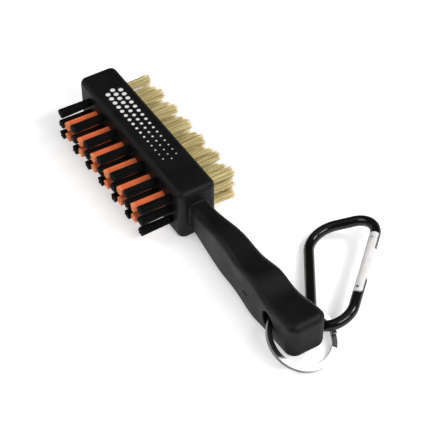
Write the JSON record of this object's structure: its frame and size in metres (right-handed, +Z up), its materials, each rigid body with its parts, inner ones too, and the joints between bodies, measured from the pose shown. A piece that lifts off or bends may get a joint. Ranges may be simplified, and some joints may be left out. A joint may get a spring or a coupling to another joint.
{
  "type": "club groove brush",
  "caption": "Hand brush for golf club grooves: nylon bristles on one side, brass on the other, with a split ring and a snap carabiner.",
  "frame": {"origin": "centre of the flat underside of the brush head, on the surface the brush lies on", "axes": "+X along the brush towards the handle's end, +Y towards the brass bristles, +Z up to the head's upper face; -Y is the nylon side"},
  "size_m": [0.1665, 0.08, 0.0245],
  "materials": {
    "soft_black_plastic": "soft-touch matt black moulding",
    "black_nylon": "black nylon bristle",
    "orange_nylon": "orange nylon bristle",
    "brass_wire": "crimped brass wire bristle",
    "anchor_steel": "flat steel staple wire",
    "nickel_plated_steel": "bright nickel plate",
    "black_anodised": "gloss black anodised aluminium",
    "bare_aluminium": "polished aluminium",
    "pin_steel": "plain steel pin",
    "spring_steel": "drawn spring wire"
  },
  "bodies": {
    "brush": {"black_tufts_1": "black_nylon", "black_tufts_2": "black_nylon", "black_tufts_3": "black_nylon", "black_tufts_4": "black_nylon", "black_tufts_5": "black_nylon", "black_tufts_6": "black_nylon", "black_tufts_7": "black_nylon", "brass_tufts_1": "brass_wire", "brass_tufts_10": "brass_wire", "brass_tufts_11": "brass_wire", "brass_tufts_12": "brass_wire", "brass_tufts_13": "brass_wire", "brass_tufts_2": "brass_wire", "brass_tufts_3": "brass_wire", "brass_tufts_4": "brass_wire", "brass_tufts_5": "brass_wire", "brass_tufts_6": "brass_wire", "brass_tufts_7": "brass_wire", "brass_tufts_8": "brass_wire", "brass_tufts_9": "brass_wire", "orange_tufts_1": "orange_nylon", "orange_tufts_2": "orange_nylon", "orange_tufts_3": "orange_nylon", "orange_tufts_4": "orange_nylon", "orange_tufts_5": "orange_nylon", "orange_tufts_6": "orange_nylon", "handle_body": "soft_black_plastic", "nylon_anchors": "anchor_steel", "brass_anchors": "anchor_steel"},
    "ring": {"split_ring": "nickel_plated_steel"},
    "clip": {"carabiner_frame": "black_anodised"},
    "gate": {"carabiner_gate": "bare_aluminium", "gate_pivot_pin": "pin_steel", "gate_latch_pin": "pin_steel", "gate_plunger": "pin_steel", "gate_spring": "spring_steel"}
  },
  "joints": [
    {"name": "ring_swing", "type": "hinge", "parent": "brush", "child": "ring", "pos_m": [0.1022, 0, 0.0116], "axis": [0, -1, 0], "range_deg": [-80, 140]},
    {"name": "clip_swing", "type": "hinge", "parent": "ring", "child": "clip", "pos_m": [0.11206, 0.01461, 0.00496], "axis": [0.9132, -0.0789, -0.3998], "range_deg": [-4, 45]},
    {"name": "gate_open", "type": "hinge", "parent": "clip", "child": "gate", "pos_m": [0.10684, 0.0307, 0.01046], "axis": [-0.2264, -0.2251, 0.9477], "range_deg": [0, 30], "stiffness_Nm_per_rad": 0.02, "springref_deg": -28.65}
  ]
}
